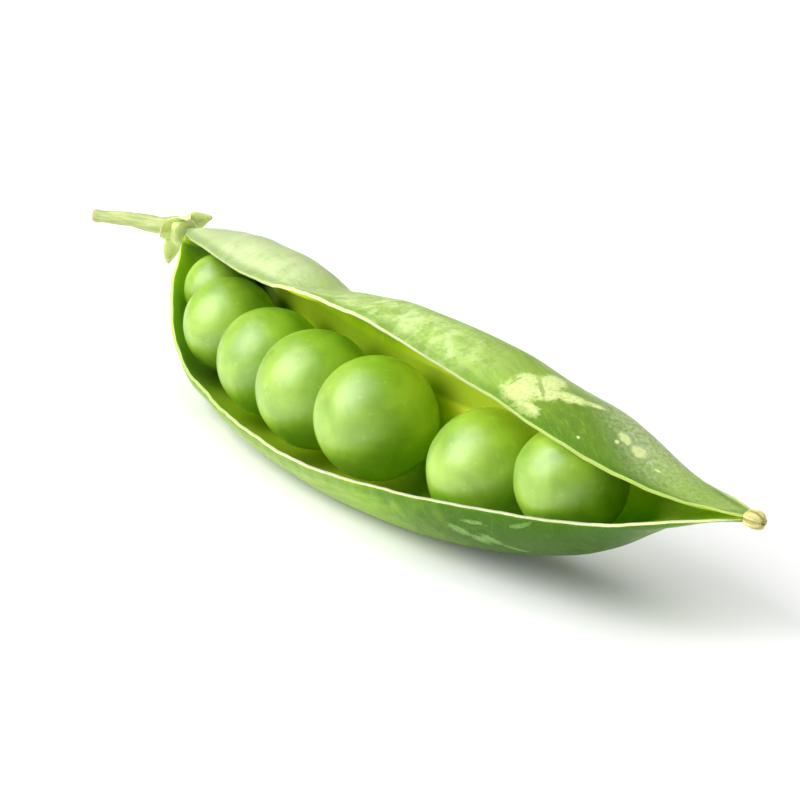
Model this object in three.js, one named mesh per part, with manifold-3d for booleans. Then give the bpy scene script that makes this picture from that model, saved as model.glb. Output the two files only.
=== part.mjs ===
// A garden pea pod, opened along its front and lying on its belly, with seven peas held inside.
// Millimetres, +Z up. +X runs from the stalk to the pointed tip, +Y to the closed seam at the back.

import * as THREE from 'three';
import { mergeVertices } from 'three/addons/utils/BufferGeometryUtils.js';
import Module from 'manifold-3d';

// Place of the finished part: the point of the floor under the middle of the whole pod
const ORIGIN = [-5.7, 2.0];

// Both ends of the pod along X
const POD_START = -44.6;
const POD_END = 43.0;

// Pod wall, thinner over a sixth of its section at each rim, and its bead of a lip
const WALL = 0.8;
const RIM_WALL = 0.6;
const RIM_REACH = 1 / 6;
const LIP = 0.18;

// Placenta inside the back seam with its short seed stalks, rib outside it, and swell at each pea.
// The two widths are shares of the section, the reach a share of the pea's radius.
const PLACENTA = 0.7;
const PLACENTA_WIDTH = 0.035;
const SEED_STALK = 0.3;
const BACK_RIB = 0.3;
const BACK_RIB_WIDTH = 0.022;
const SWELL = 0.2;
const SWELL_REACH = 0.6;

// Section of the pod: where its crown and belly lie between rim and seam, and how round it is
const CROWN_PLACE = 0.42;
const BELLY_PLACE = 0.54;
const UPPER_FULLNESS = 0.5;
const LOWER_FULLNESS = 0.55;
const UPPER_BACK_FULLNESS = 0.58;
const LOWER_BACK_FULLNESS = 0.88;
const SEAM_LEAN = 0.02;
const UPPER_LEAN = 0.35;
const LOWER_LEAN = 0.08;

// Steps of the pod's surface, and the length over which it closes at each end
const STATIONS = 60;
const END_CROWDING = 0.55;
const ARC_STEPS = 6;
const STALK_CLOSE = 2.0;
const TIP_CLOSE = 2.0;

// Run of the pod's curves: x, y, z
const BACK_SEAM = [
  [POD_START, 5.6, 13.0],
  [-43.4, 7.6, 12.8],
  [-41.5, 9.3, 12.4],
  [-38, 10.2, 11.7],
  [-30.5, 9.0, 10.4],
  [-21, 8.2, 9.6],
  [-10.5, 7.3, 9.3],
  [0, 6.8, 9.3],
  [9, 6.5, 9.5],
  [18, 6.7, 9.8],
  [27, 7.2, 10.2],
  [35, 6.8, 9.8],
  [40, 5.9, 10.1],
  [POD_END, 5.0, 10.3],
];
const UPPER_RIM = [
  [POD_START, 4.9, 12.9],
  [-42.5, 4.3, 13.0],
  [-38, 3.4, 13.3],
  [-33.5, 1.8, 13.9],
  [-24, -0.3, 14.4],
  [-16, -1.3, 15.0],
  [-10.5, -1.8, 15.8],
  [-4, -2.1, 16.0],
  [2, -2.2, 16.0],
  [8.5, -2.4, 15.5],
  [16, -2.6, 14.9],
  [22.5, -2.7, 14.4],
  [27.5, -2.3, 13.4],
  [33, -1.0, 12.1],
  [37, 0.8, 11.0],
  [41, 2.9, 10.5],
  [POD_END, 4.3, 10.4],
];
const LOWER_RIM = [
  [POD_START, 4.5, 12.3],
  [-43.2, 3.3, 10.9],
  [-41, 1.6, 9.5],
  [-38, -0.1, 8.2],
  [-35, -1.5, 6.8],
  [-32, -2.5, 5.5],
  [-29, -3.2, 4.4],
  [-24.5, -3.7, 3.6],
  [-20, -4.6, 3.4],
  [-14, -5.6, 3.4],
  [-5, -6.4, 3.4],
  [3, -6.7, 4.0],
  [11.5, -6.6, 5.1],
  [16.5, -6.2, 5.7],
  [21, -5.5, 6.3],
  [28, -3.9, 7.1],
  [34, -1.9, 7.9],
  [38.5, 0.2, 9.0],
  [POD_END, 4.0, 10.0],
];

// Highest and lowest level of the wall's outside along the pod: x, z
const CROWN = [
  [POD_START, 13.5],
  [-42, 13.8],
  [-38, 14.1],
  [-31, 15.4],
  [-25, 15.9],
  [-17, 15.7],
  [-13, 14.8],
  [-9.9, 15],
  [-7, 15.6],
  [-1, 16.3],
  [5, 16.7],
  [12, 16.7],
  [17.5, 16.1],
  [25, 14.7],
  [30, 13.4],
  [34, 11.6],
  [37, 10.7],
  [40, 10.2],
  [POD_END, 10.6],
];
const BELLY = [
  [POD_START, 12.0],
  [-43.4, 9.0],
  [-41.5, 5.2],
  [-38, 3.1],
  [-33, 1.4],
  [-26, 0.1],
  [-20, -0.4],
  [-5, -0.6],
  [3, -0.5],
  [11, 0],
  [17, 0.8],
  [22, 1.6],
  [26, 2.7],
  [29, 3.7],
  [32, 5.4],
  [35, 7.1],
  [38, 8.2],
  [41, 9.3],
  [POD_END, 9.7],
];

// Peas from the stalk to the tip: x, y, z of the middle and the radius
const PEAS = [
  [-38.2, 5.3, 8.8, 3.4],
  [-30.7, 2.5, 7.4, 4.4],
  [-21.2, 1.6, 6.3, 4.9],
  [-10.8, 0.3, 6.5, 5.2],
  [0, 0, 6.8, 5.2],
  [17.25, -0.1, 7.05, 4.9],
  [26.75, 1.0, 8.75, 4.35],
];
const PEA_SEGMENTS = 20;
const PEA_RINGS = 14;

// Stalk, with its radius at the calyx and at the cut end, the share that the radius grows by at each
// end, the share of the stalk's length over which each growth fades, and its ribs
const STALK_PATH = [
  [-47.4, 5.3, 13.15],
  [-49.4, 4.5, 12.95],
  [-52.6, 2.9, 13.1],
  [-56.0, 0.7, 13.05],
];
const STALK_RADIUS = [0.92, 0.6];
const STALK_FOOT = 0.1;
const STALK_FOOT_LENGTH = 0.15;
const STALK_CUT = 0.1;
const STALK_CUT_LENGTH = 0.08;
const STALK_RIB = 0.05;
const STALK_RIBS = 4;
const STALK_SIDES = 12;
const STALK_STEPS = 16;

// Calyx: receptacle profile as [radius, level], and each sepal as [degrees round it, lie]
const CALYX_BASE = [-44.9, 5.2, 12.8];
const STALK_DIRECTION = [-1, 0.05, 0.15];
const RECEPTACLE_PROFILE = [
  [0, 0],
  [1.0, 0],
  [1.4, 0.35],
  [1.35, 1.0],
  [1.1, 1.6],
  [0.95, 2.0],
  [0, 2.0],
];
const RECEPTACLE_SIDES = 16;
const SEPALS = [
  [90, 1],
  [162, 0.4],
  [234, 0],
  [306, 0],
  [18, 0.2],
];
const SEPAL_ROOT = [0.7, 1.0];
const SEPAL_LYING_MIDDLE = [2.0, 0.6];
const SEPAL_LYING_TIP = [1.8, -0.9];
const SEPAL_SPREAD_MIDDLE = [2.2, 1.3];
const SEPAL_SPREAD_TIP = [3.4, 0.6];
const SEPAL_WIDTH = 2.2;
const SEPAL_THICK = 0.6;
const SEPAL_TAPER = 1.4;
const SEPAL_SIDES = 8;
const SEPAL_STEPS = 7;

// Dried remnant of the style at the tip
const STYLE_BASE = [43.3, 4.35, 10.2];
const STYLE_DIRECTION = [1, 0.12, -0.02];
const STYLE_RADIUS = 0.68;
const STYLE_END = 0.45;
const STYLE_BLUNTNESS = 0.6;
const STYLE_LENGTH = 1.6;
const STYLE_PUCKER = 0.12;
const STYLE_FOLDS = 5;
const STYLE_TWIST = 0.5;
const STYLE_SIDES = 20;
const STYLE_STEPS = 8;

// Corners closer than this are one corner when solids are joined
const SAME_CORNER = 1e-5;

// Colour and roughness of each surface
const POD_GREEN = [0x8fb544, 0.4];
const PEA_GREEN = [0x8cb53c, 0.35];
const STALK_GREEN = [0xb9c878, 0.6];
const CALYX_GREEN = [0xa8b86a, 0.6];
const STYLE_YELLOW = [0xe0d59a, 0.8];

// Smooth value along a list of stations, the column picked out by its index
function along(stations, column, x) {
  const last = stations.length - 1;
  let i = 0;
  while (i < last - 1 && x > stations[i + 1][0]) i += 1;
  const slope = (k) => {
    const before = stations[Math.max(k - 1, 0)];
    const after = stations[Math.min(k + 1, last)];
    return (after[column] - before[column]) / (after[0] - before[0]);
  };
  const [from, to] = [stations[i], stations[i + 1]];
  const length = to[0] - from[0];
  const t = THREE.MathUtils.clamp((x - from[0]) / length, 0, 1);
  const rise = to[column] - from[column];
  const startSlope = slope(i) * length;
  const endSlope = slope(i + 1) * length;
  const curve = rise * (3 - 2 * t) * t * t;
  return from[column] + curve + startSlope * t * (1 - t) ** 2 - endSlope * t * t * (1 - t);
}

// Bell curve round a middle, 1 high
const bell = (value, middle, width) => Math.exp(-(((value - middle) / width) ** 2));

// How much of each pea shows through the wall at x, 0 to 1
function peaSwell(x) {
  return PEAS.reduce((sum, pea) => sum + bell(x, pea[0], pea[3] * SWELL_REACH), 0);
}

function bezier(a, b, c, d, t) {
  const s = 1 - t;
  return s * s * s * a + 3 * s * s * t * b + 3 * s * t * t * c + t * t * t * d;
}

// Quarter turn from a level point, the crown or belly, out to a side point that leans by lean
function quarterTurn(level, side, lean, full, t) {
  const [wide, high] = [side[0] - level[0], side[1] - level[1]];
  const y = bezier(level[0], level[0] + full * wide, side[0] - lean * wide, side[0], t);
  const z = bezier(level[1], level[1], side[1] - full * high, side[1], t);
  return [y, z];
}

// Outline of the wall's outside at x as [y, z] points, upper rim to back seam to lower rim
function outerArc(x) {
  const seam = [along(BACK_SEAM, 1, x), along(BACK_SEAM, 2, x)];
  const upper = [along(UPPER_RIM, 1, x), along(UPPER_RIM, 2, x)];
  const lower = [along(LOWER_RIM, 1, x), along(LOWER_RIM, 2, x)];
  const crown = [THREE.MathUtils.lerp(upper[0], seam[0], CROWN_PLACE), along(CROWN, 1, x)];
  const belly = [THREE.MathUtils.lerp(lower[0], seam[0], BELLY_PLACE), along(BELLY, 1, x)];
  const turns = [
    [crown, upper, UPPER_LEAN, UPPER_FULLNESS, true],
    [crown, seam, SEAM_LEAN, UPPER_BACK_FULLNESS, false],
    [belly, seam, SEAM_LEAN, LOWER_BACK_FULLNESS, true],
    [belly, lower, LOWER_LEAN, LOWER_FULLNESS, false],
  ];
  const points = [];
  for (const [level, side, lean, full, reversed] of turns) {
    for (let i = 0; i < ARC_STEPS; i += 1) {
      const t = reversed ? 1 - i / ARC_STEPS : i / ARC_STEPS;
      points.push(quarterTurn(level, side, lean, full, t));
    }
  }
  points.push(lower);
  return points;
}

// Outward directions along an open outline of [y, z] points
function outwards(points) {
  const last = points.length - 1;
  return points.map((point, i) => {
    const before = points[Math.max(i - 1, 0)];
    const after = points[Math.min(i + 1, last)];
    const across = new THREE.Vector2(after[0] - before[0], after[1] - before[1]).normalize();
    return [-across.y, across.x];
  });
}

// One closed ring of the pod wall at x: outside, lower lip, inside back again, upper lip
function podRing(x) {
  const fromEnd = Math.min((x - POD_START) / STALK_CLOSE, (POD_END - x) / TIP_CLOSE);
  const closing = 1 - THREE.MathUtils.smoothstep(fromEnd, 0, 1);
  const raw = outerArc(x);
  const out = outwards(raw);
  const last = raw.length - 1;
  const outer = raw.map((point, i) => {
    const v = i / last;
    const open = 1 - closing;
    const bulge = SWELL * peaSwell(x) * Math.sin(Math.PI * v) ** 2 * open;
    const rib = BACK_RIB * bell(v, 0.5, BACK_RIB_WIDTH) * open;
    const push = bulge + rib;
    return [point[0] + out[i][0] * push, Math.max(point[1] + out[i][1] * push, 0)];
  });
  const mouth = (v) => [
    THREE.MathUtils.lerp(outer[0][0], outer[last][0], v),
    THREE.MathUtils.lerp(outer[0][1], outer[last][1], v),
  ];
  const inner = outer.map((point, i) => {
    const v = i / last;
    const fromRim = Math.min(Math.min(v, 1 - v) / RIM_REACH, 1);
    const ridge = PLACENTA + SEED_STALK * peaSwell(x);
    const wall = THREE.MathUtils.lerp(RIM_WALL, WALL, fromRim);
    const depth = wall + ridge * bell(v, 0.5, PLACENTA_WIDTH);
    const hollow = [point[0] - out[i][0] * depth, point[1] - out[i][1] * depth];
    const chord = mouth(v);
    return [0, 1].map((axis) => THREE.MathUtils.lerp(hollow[axis], chord[axis], closing));
  });
  const lip = (a, b) => {
    const side = new THREE.Vector2(b[0] - a[0], b[1] - a[1]).normalize();
    const bead = LIP * (1 - closing);
    return [(a[0] + b[0]) / 2 - side.y * bead, (a[1] + b[1]) / 2 + side.x * bead];
  };
  const ring = [...outer, lip(inner[last], outer[last]), ...inner.toReversed()];
  ring.push(lip(outer[0], inner[0]));
  return ring.map(([y, z]) => [x, y, z]);
}

// Closed body through a run of rings of equal length. Seen from the last ring, each ring turns
// clockwise. The end triangles come from closeEnd.
function skinBody(rings, closeEnd) {
  const size = rings[0].length;
  const index = [];
  for (let r = 0; r < rings.length - 1; r += 1) {
    for (let i = 0; i < size; i += 1) {
      const a = r * size + i;
      const b = r * size + ((i + 1) % size);
      index.push(a, a + size, b, b, a + size, b + size);
    }
  }
  const lastRing = (rings.length - 1) * size;
  for (const [p, q, s] of closeEnd(size)) {
    index.push(p, q, s);
    index.push(lastRing + p, lastRing + s, lastRing + q);
  }
  const geometry = new THREE.BufferGeometry();
  geometry.setAttribute('position', new THREE.Float32BufferAttribute(rings.flat(2), 3));
  geometry.setIndex(index);
  geometry.computeVertexNormals();
  return geometry;
}

// End triangles of a ring that fills its outline
function fanEnd(size) {
  return Array.from({ length: size - 2 }, (_, i) => [0, i + 1, i + 2]);
}

// End triangles of a pod ring, from its outside across to its inside, with a lip at each end
function bandEnd(size) {
  const last = size / 2 - 2;
  const inner = (i) => size - 2 - i;
  const triangles = [
    [last, last + 1, inner(last)],
    [inner(0), size - 1, 0],
  ];
  for (let i = 0; i < last; i += 1) {
    triangles.push([i, i + 1, inner(i)], [i + 1, inner(i + 1), inner(i)]);
  }
  return triangles;
}

// Closed body swept along stations of { centre, across, ahead, outline }, the outline a list of
// [across, up] points that turns clockwise seen from the last station
function sweptBody(stations) {
  const rings = stations.map(({ centre, across, ahead, outline }) => {
    const up = new THREE.Vector3().crossVectors(ahead, across).normalize();
    return outline.map(([u, v]) => {
      const point = centre.clone().addScaledVector(across, u).addScaledVector(up, v);
      return point.toArray();
    });
  });
  return skinBody(rings, fanEnd);
}

// Clockwise outline of an oval, with the radius scaled by ripple at each angle
function oval(wide, high, sides, ripple = () => 1) {
  return Array.from({ length: sides }, (_, i) => {
    const angle = (-2 * Math.PI * i) / sides;
    const scale = ripple(angle);
    return [wide * scale * Math.cos(angle), high * scale * Math.sin(angle)];
  });
}

// Stations along the pod, closer together at both ends
function podStations() {
  return Array.from({ length: STATIONS + 1 }, (_, i) => {
    const t = i / STATIONS;
    const eased = THREE.MathUtils.lerp(t, (1 - Math.cos(Math.PI * t)) / 2, END_CROWDING);
    return THREE.MathUtils.lerp(POD_START, POD_END, eased);
  });
}

function podShell() {
  return skinBody(podStations().map((x) => podRing(x)), bandEnd);
}

// Stalk, faintly ribbed, a little thicker at the calyx and at its cut end
function stalk() {
  const path = new THREE.CatmullRomCurve3(STALK_PATH.map((point) => new THREE.Vector3(...point)));
  const upright = new THREE.Vector3(0, 0, 1);
  const ripple = (angle) => 1 + STALK_RIB * Math.cos(STALK_RIBS * angle);
  const stations = Array.from({ length: STALK_STEPS + 1 }, (_, i) => {
    const t = i / STALK_STEPS;
    const centre = path.getPointAt(t);
    const ahead = path.getTangentAt(t);
    const across = new THREE.Vector3().crossVectors(upright, ahead).normalize();
    const foot = STALK_FOOT * bell(t, 0, STALK_FOOT_LENGTH);
    const cutEnd = STALK_CUT * bell(t, 1, STALK_CUT_LENGTH);
    const radius = THREE.MathUtils.lerp(...STALK_RADIUS, t) * (1 + foot + cutEnd);
    return { centre, across, ahead, outline: oval(radius, radius, STALK_SIDES, ripple) };
  });
  return sweptBody(stations);
}

// One sepal, standing out at angle round the calyx. Its tip lies forward on the pod where lie is 1
// and stands straight out where lie is 0.
function sepal(angle, lie) {
  const out = new THREE.Vector3(Math.cos(angle), 0, Math.sin(angle));
  const across = new THREE.Vector3(-Math.sin(angle), 0, Math.cos(angle));
  const at = ([radius, level]) => out.clone().multiplyScalar(radius).setY(level);
  const mix = (a, b) => a.map((value, i) => THREE.MathUtils.lerp(value, b[i], lie));
  const rib = new THREE.QuadraticBezierCurve3(
    at(SEPAL_ROOT),
    at(mix(SEPAL_SPREAD_MIDDLE, SEPAL_LYING_MIDDLE)),
    at(mix(SEPAL_SPREAD_TIP, SEPAL_LYING_TIP)),
  );
  const stations = Array.from({ length: SEPAL_STEPS + 1 }, (_, i) => {
    const t = i / SEPAL_STEPS;
    const wide = SEPAL_WIDTH / 2 * Math.cos(t * SEPAL_TAPER);
    const outline = oval(wide, SEPAL_THICK / 2, SEPAL_SIDES);
    return { centre: rib.getPoint(t), across, ahead: rib.getTangent(t), outline };
  });
  return sweptBody(stations);
}

// Closed mesh with its shared corners merged, as a solid that can be joined
function solidOf(geometry) {
  const bare = geometry.clone();
  bare.deleteAttribute('normal');
  bare.deleteAttribute('uv');
  const merged = mergeVertices(bare, SAME_CORNER);
  const vertProperties = new Float32Array(merged.attributes.position.array);
  const triVerts = new Uint32Array(merged.index.array);
  return new wasm.Manifold(new wasm.Mesh({ numProp: 3, vertProperties, triVerts }));
}

function geometryOf(solid) {
  const { vertProperties, triVerts } = solid.getMesh();
  const geometry = new THREE.BufferGeometry();
  geometry.setAttribute('position', new THREE.Float32BufferAttribute(vertProperties, 3));
  geometry.setIndex(Array.from(triVerts));
  geometry.computeVertexNormals();
  return geometry;
}

// Calyx: a round receptacle and its sepals, grown together, with +Y towards the stalk
function calyx() {
  const profile = RECEPTACLE_PROFILE.map(([radius, level]) => new THREE.Vector2(radius, level));
  let joined = solidOf(new THREE.LatheGeometry(profile, RECEPTACLE_SIDES));
  SEPALS.forEach(([degrees, lie]) => {
    joined = joined.add(solidOf(sepal(THREE.MathUtils.degToRad(degrees), lie)));
  });
  return geometryOf(joined);
}

// Dried remnant of the style: a small puckered knob, along +Y
function styleTip() {
  const across = new THREE.Vector3(1, 0, 0);
  const ahead = new THREE.Vector3(0, 1, 0);
  const stations = Array.from({ length: STYLE_STEPS + 1 }, (_, i) => {
    const t = i / STYLE_STEPS;
    const round = Math.max(Math.sin(Math.PI * t), 0) ** STYLE_BLUNTNESS;
    const radius = STYLE_RADIUS * THREE.MathUtils.lerp(STYLE_END, 1, round);
    const fold = (angle) => STYLE_FOLDS * angle + STYLE_TWIST * t;
    const ripple = (angle) => 1 + STYLE_PUCKER * Math.cos(fold(angle));
    const centre = ahead.clone().multiplyScalar(STYLE_LENGTH * t);
    return { centre, across, ahead, outline: oval(radius, radius, STYLE_SIDES, ripple) };
  });
  return sweptBody(stations);
}

const wasm = await Module();
wasm.setup();

const pod = new THREE.Group();
pod.position.set(-ORIGIN[0], -ORIGIN[1], 0);

function addPart(name, geometry, [color, roughness]) {
  const material = new THREE.MeshStandardMaterial({ color, roughness, metalness: 0 });
  const mesh = new THREE.Mesh(geometry, material);
  mesh.name = name;
  pod.add(mesh);
  return mesh;
}

// Stands a part that was made along +Y at a base point, pointing along a direction
function aim(mesh, base, direction) {
  const upright = new THREE.Vector3(0, 1, 0);
  mesh.position.set(...base);
  mesh.quaternion.setFromUnitVectors(upright, new THREE.Vector3(...direction).normalize());
}

addPart('pod_shell', podShell(), POD_GREEN);

PEAS.forEach(([x, y, z, radius], i) => {
  const geometry = new THREE.SphereGeometry(radius, PEA_SEGMENTS, PEA_RINGS);
  const pea = addPart(`pea_${i + 1}`, geometry, PEA_GREEN);
  pea.rotation.x = Math.PI / 2;
  pea.position.set(x, y, z);
});

aim(addPart('calyx', calyx(), CALYX_GREEN), CALYX_BASE, STALK_DIRECTION);
addPart('stalk', stalk(), STALK_GREEN);
aim(addPart('style_tip', styleTip(), STYLE_YELLOW), STYLE_BASE, STYLE_DIRECTION);

export default pod;
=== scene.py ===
import math

import bmesh
import bpy
import numpy as np
from mathutils import Matrix, Vector, noise


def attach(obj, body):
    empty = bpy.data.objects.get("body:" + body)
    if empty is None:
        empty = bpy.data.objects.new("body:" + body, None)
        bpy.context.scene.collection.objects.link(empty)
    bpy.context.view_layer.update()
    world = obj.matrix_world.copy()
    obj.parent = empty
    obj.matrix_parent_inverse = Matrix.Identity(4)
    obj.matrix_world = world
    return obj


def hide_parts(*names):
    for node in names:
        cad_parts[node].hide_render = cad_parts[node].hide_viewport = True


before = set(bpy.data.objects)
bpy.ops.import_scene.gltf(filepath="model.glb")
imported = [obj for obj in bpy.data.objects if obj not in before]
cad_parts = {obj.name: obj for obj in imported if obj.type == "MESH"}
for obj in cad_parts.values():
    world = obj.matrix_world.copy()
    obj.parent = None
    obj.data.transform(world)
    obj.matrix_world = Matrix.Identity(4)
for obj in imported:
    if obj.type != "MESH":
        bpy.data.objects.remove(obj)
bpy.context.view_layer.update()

# Garden pea pod, opened along its front and lying on its belly, dressed over its CAD solids.
# Curves are in millimetres with +X from stalk to tip, +Y to the closed seam and +Z up, and
# ORIGIN is the place of the row's origin in them. Objects are in metres in the row frame.

MM = 0.001
ORIGIN = np.array([-5.7, 2.0, 0.0])

# Both ends of the pod along X
POD_START = -44.6
POD_END = 43.0

# Thickness of the pod wall, at its rims and at the tip. The tip's thinning reaches END_TAPER
# back from it, and the rims' RIM_REACH of the way round.
WALL = 0.8
RIM_WALL = 0.28
END_WALL = 0.17
END_TAPER = 11.0
RIM_REACH = 1 / 6

# Round lip of the rims, and their waves: size, pace and phase
LIP = 0.07
RIM_WAVES = ((0.035, 0.9, 1.0), (0.02, 2.3, 2.0), (0.006, 5.1, 0.4))
RIM_WAVE_REACH = 0.06

# Ridges inside and outside the back seam, and the swellings over the peas
PLACENTA = 0.7
PLACENTA_WIDTH = 0.035
SEED_STALK = 0.3
BACK_RIB = 0.3
BACK_RIB_WIDTH = 0.022
SWELL = 0.2
SWELL_REACH = 0.6

# Section: place of crown and belly between rim and seam, and how full its quarter turns are
# and how far their sides lean
CROWN_PLACE = 0.42
BELLY_PLACE = 0.54
UPPER_FULLNESS = 0.5
LOWER_FULLNESS = 0.55
UPPER_BACK_FULLNESS = 0.58
LOWER_BACK_FULLNESS = 0.88
SEAM_LEAN = 0.02
UPPER_LEAN = 0.35
LOWER_LEAN = 0.08

# Ends: length in which the wall closes, the upper valve's hood over the tip, and how much
# the stations crowd towards both ends
STALK_CLOSE = 1.2
TIP_CLOSE = 0.8
HOOD = 1.1
HOOD_REACH = 2.5
END_CROWDING = 0.55

# Fineness of the skin, and the number of points round its outside
STATIONS = 430
ARC_STEPS = 20
LIP_STEPS = 5
AROUND = 4 * ARC_STEPS + 1
LIP_SHARES = (np.arange(LIP_STEPS) + 1) / (LIP_STEPS + 1)

# Shortest length that anything is divided by
TINY = 1e-9

# Run of the pod's curves: x, y, z
BACK_SEAM = [
    (POD_START, 5.6, 13.0), (-43.4, 7.6, 12.8), (-41.5, 9.3, 12.4), (-38, 10.2, 11.7),
    (-30.5, 9.0, 10.4), (-21, 8.2, 9.6), (-10.5, 7.3, 9.3), (0, 6.8, 9.3), (9, 6.5, 9.5),
    (18, 6.7, 9.8), (27, 7.2, 10.2), (35, 6.8, 9.8), (40, 5.9, 10.1), (POD_END, 5.0, 10.3),
]
UPPER_RIM = [
    (POD_START, 4.9, 12.9), (-42.5, 4.3, 13.0), (-38, 3.4, 13.3), (-33.5, 1.8, 13.9),
    (-24, -0.3, 14.4), (-16, -1.3, 15.0), (-10.5, -1.8, 15.8), (-4, -2.1, 16.0),
    (2, -2.2, 16.0), (8.5, -2.4, 15.5), (16, -2.6, 14.9), (22.5, -2.7, 14.4),
    (27.5, -2.3, 13.4), (33, -1.0, 12.1), (37, 0.8, 11.0), (41, 2.9, 10.5),
    (POD_END, 4.3, 10.4),
]
LOWER_RIM = [
    (POD_START, 4.5, 12.3), (-43.2, 3.3, 10.9), (-41, 1.6, 9.5), (-38, -0.1, 8.2),
    (-35, -1.5, 6.8), (-32, -2.5, 5.5), (-29, -3.2, 4.4), (-24.5, -3.7, 3.6),
    (-20, -4.6, 3.4), (-14, -5.6, 3.4), (-5, -6.4, 3.4), (3, -6.7, 4.0), (11.5, -6.6, 5.1),
    (16.5, -6.2, 5.7), (21, -5.5, 6.3), (28, -3.9, 7.1), (34, -1.9, 7.9), (38.5, 0.2, 9.0),
    (POD_END, 4.0, 10.0),
]

# Highest and lowest level of the wall's outside: x, z
CROWN = [
    (POD_START, 13.5), (-42, 13.8), (-38, 14.1), (-31, 15.4), (-25, 15.9), (-17, 15.7),
    (-13, 14.8), (-9.9, 15), (-7, 15.6), (-1, 16.3), (5, 16.7), (12, 16.7), (17.5, 16.1),
    (25, 14.7), (30, 13.4), (34, 11.6), (37, 10.7), (40, 10.2), (POD_END, 10.6),
]
BELLY = [
    (POD_START, 12.0), (-43.4, 9.0), (-41.5, 5.2), (-38, 3.1), (-33, 1.4), (-26, 0.1),
    (-20, -0.4), (-5, -0.6), (3, -0.5), (11, 0), (17, 0.8), (22, 1.6), (26, 2.7),
    (29, 3.7), (32, 5.4), (35, 7.1), (38, 8.2), (41, 9.3), (POD_END, 9.7),
]

# Peas from the stalk to the tip: x, y, z of the middle, the radius, and how lumpy each is
PEAS = [
    (-38.2, 5.3, 8.8, 3.4, 0.010),
    (-30.7, 2.5, 7.4, 4.4, 0.010),
    (-21.2, 1.6, 6.3, 4.9, 0.010),
    (-10.8, 0.3, 6.5, 5.2, 0.010),
    (0, 0, 6.8, 5.2, 0.008),
    (17.25, -0.1, 7.05, 4.9, 0.014),
    (26.75, 1.0, 8.75, 4.35, 0.020),
]
PEA_FINENESS = 6

# Lumps as pace and size, each pea's step through their noise, and the seed stalk's scar,
# all in shares of the radius
LUMPS = ((1.3, 1.0), (2.6, 0.4))
LUMP_STEP = (7.3, 3.1, 5.7)
SKIN_STEP = 3.7
SCAR_LENGTH = 0.2
SCAR_WIDTH = 0.11
SCAR_DEPTH = 0.02

# Stalk: its run, its radius at both ends, its swellings as size, place and width, and its
# ribs as size, number, twist and phase
STALK_PATH = [
    (-46.6, 5.4, 13.1), (-47.4, 5.3, 13.15), (-49.4, 4.5, 12.95), (-52.6, 2.9, 13.1),
    (-56.0, 0.7, 13.05),
]
STALK_RADII = (0.94, 0.58)
STALK_SWELLINGS = ((0.08, 0, 0.15), (0.14, 1, 0.05), (-0.04, 0.9, 0.05))
STALK_WAVE = 0.04
STALK_RIBS = ((0.06, 5, 1.5, 0.0), (0.02, 11, -0.8, 0.0))
STALK_STEPS = 110
STALK_SIDES = 48
STALK_LENGTH = 10.5

# Cut end of the stalk: rings that step inwards over it, as share of its radius and height
STALK_END = ((0.88, 0.02), (0.7, -0.06), (0.45, -0.14), (0.2, -0.18))

# Calyx, with levels along the stalk's direction: receptacle as radius and level, and sepals
# as degrees round it and how far each lies forward on the pod
CALYX_BASE = (-44.9, 5.2, 12.8)
STALK_DIRECTION = (-1, 0.05, 0.15)
RECEPTACLE = [
    (0.3, -0.1), (1.0, -0.05), (1.3, 0.1), (1.45, 0.4), (1.42, 0.8), (1.3, 1.2), (1.12, 1.6),
    (1.02, 1.9), (1.0, 2.1), (0.4, 2.15),
]
RECEPTACLE_LOBES = 0.05
RECEPTACLE_RINGS = 40
RECEPTACLE_SIDES = 64
SEPALS = [(90, 1.0), (162, 0.4), (234, 0.0), (306, 0.0), (18, 0.2)]
SEPAL_WIDTH = 2.3
SEPAL_THICK = 0.34
SEPAL_CUP = 0.35
SEPAL_WAVE = 0.06
SEPAL_STEPS = 40
SEPAL_SIDES = 32

# Root of every sepal, and middle and tip of one that stands off and of one that lies
# forward, as distance out and level
SEPAL_ROOT = (0.7, 1.0)
SEPAL_OFF = ((2.2, 1.3), (3.4, 0.6))
SEPAL_FORWARD = ((2.0, 0.6), (1.8, -0.9))

# Dried style: its folds as size, number, share of the twist and phase, and its end as the
# stalk's
STYLE_BASE = (43.2, 4.35, 10.2)
STYLE_DIRECTION = (1, 0.12, -0.02)
STYLE_RADIUS = 0.68
STYLE_WAIST = 0.42
STYLE_LENGTH = 1.65
STYLE_FOLDS = ((0.10, 5, 1.0, 0.0), (0.05, 9, -1.7, 0.5), (0.03, 17, 2.3, 1.1))
STYLE_END = ((0.8, 0.03), (0.55, -0.05), (0.28, -0.16), (0.1, -0.22))
STYLE_STEPS = 70
STYLE_SIDES = 120

# Marks on the outside of the pod: x, distance round from the back seam, length, width, degrees
SCUFF = [
    (22.6, -10.8, 3.6, 2.5, 20), (24.6, -11.7, 2.4, 1.4, 15), (24.0, -9.4, 2.6, 2.0, 35),
    (21.6, -9.9, 2.0, 2.2, 10), (25.4, -8.1, 3.2, 1.5, 32), (22.6, -8.0, 2.2, 3.0, 60),
    (26.8, -6.8, 1.9, 0.7, 40),
]
CRACK = [(23.3, -9.4, 3.4, 0.32, -24), (21.2, -10.6, 0.3, 1.7, 10)]
SPOTS = [
    (31.1, -6.0, 1.3, 0.8, 20), (32.5, -5.3, 1.3, 1.0, 40), (31.3, -6.8, 0.4, 0.35, 0),
    (29.8, -9.6, 0.3, 0.25, 0), (34.6, -4.6, 0.6, 0.25, 40),
]
WELTS = [
    (20.2, 19.2, 2.4, 0.9, -35), (21.9, 17.9, 2.2, 0.9, -35), (23.1, 17.7, 2.2, 0.8, -45),
    (24.5, 15.9, 2.8, 0.55, -50), (22.4, 19.7, 2.4, 0.4, -20), (27.3, 18.0, 2.6, 0.4, -20),
]

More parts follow.
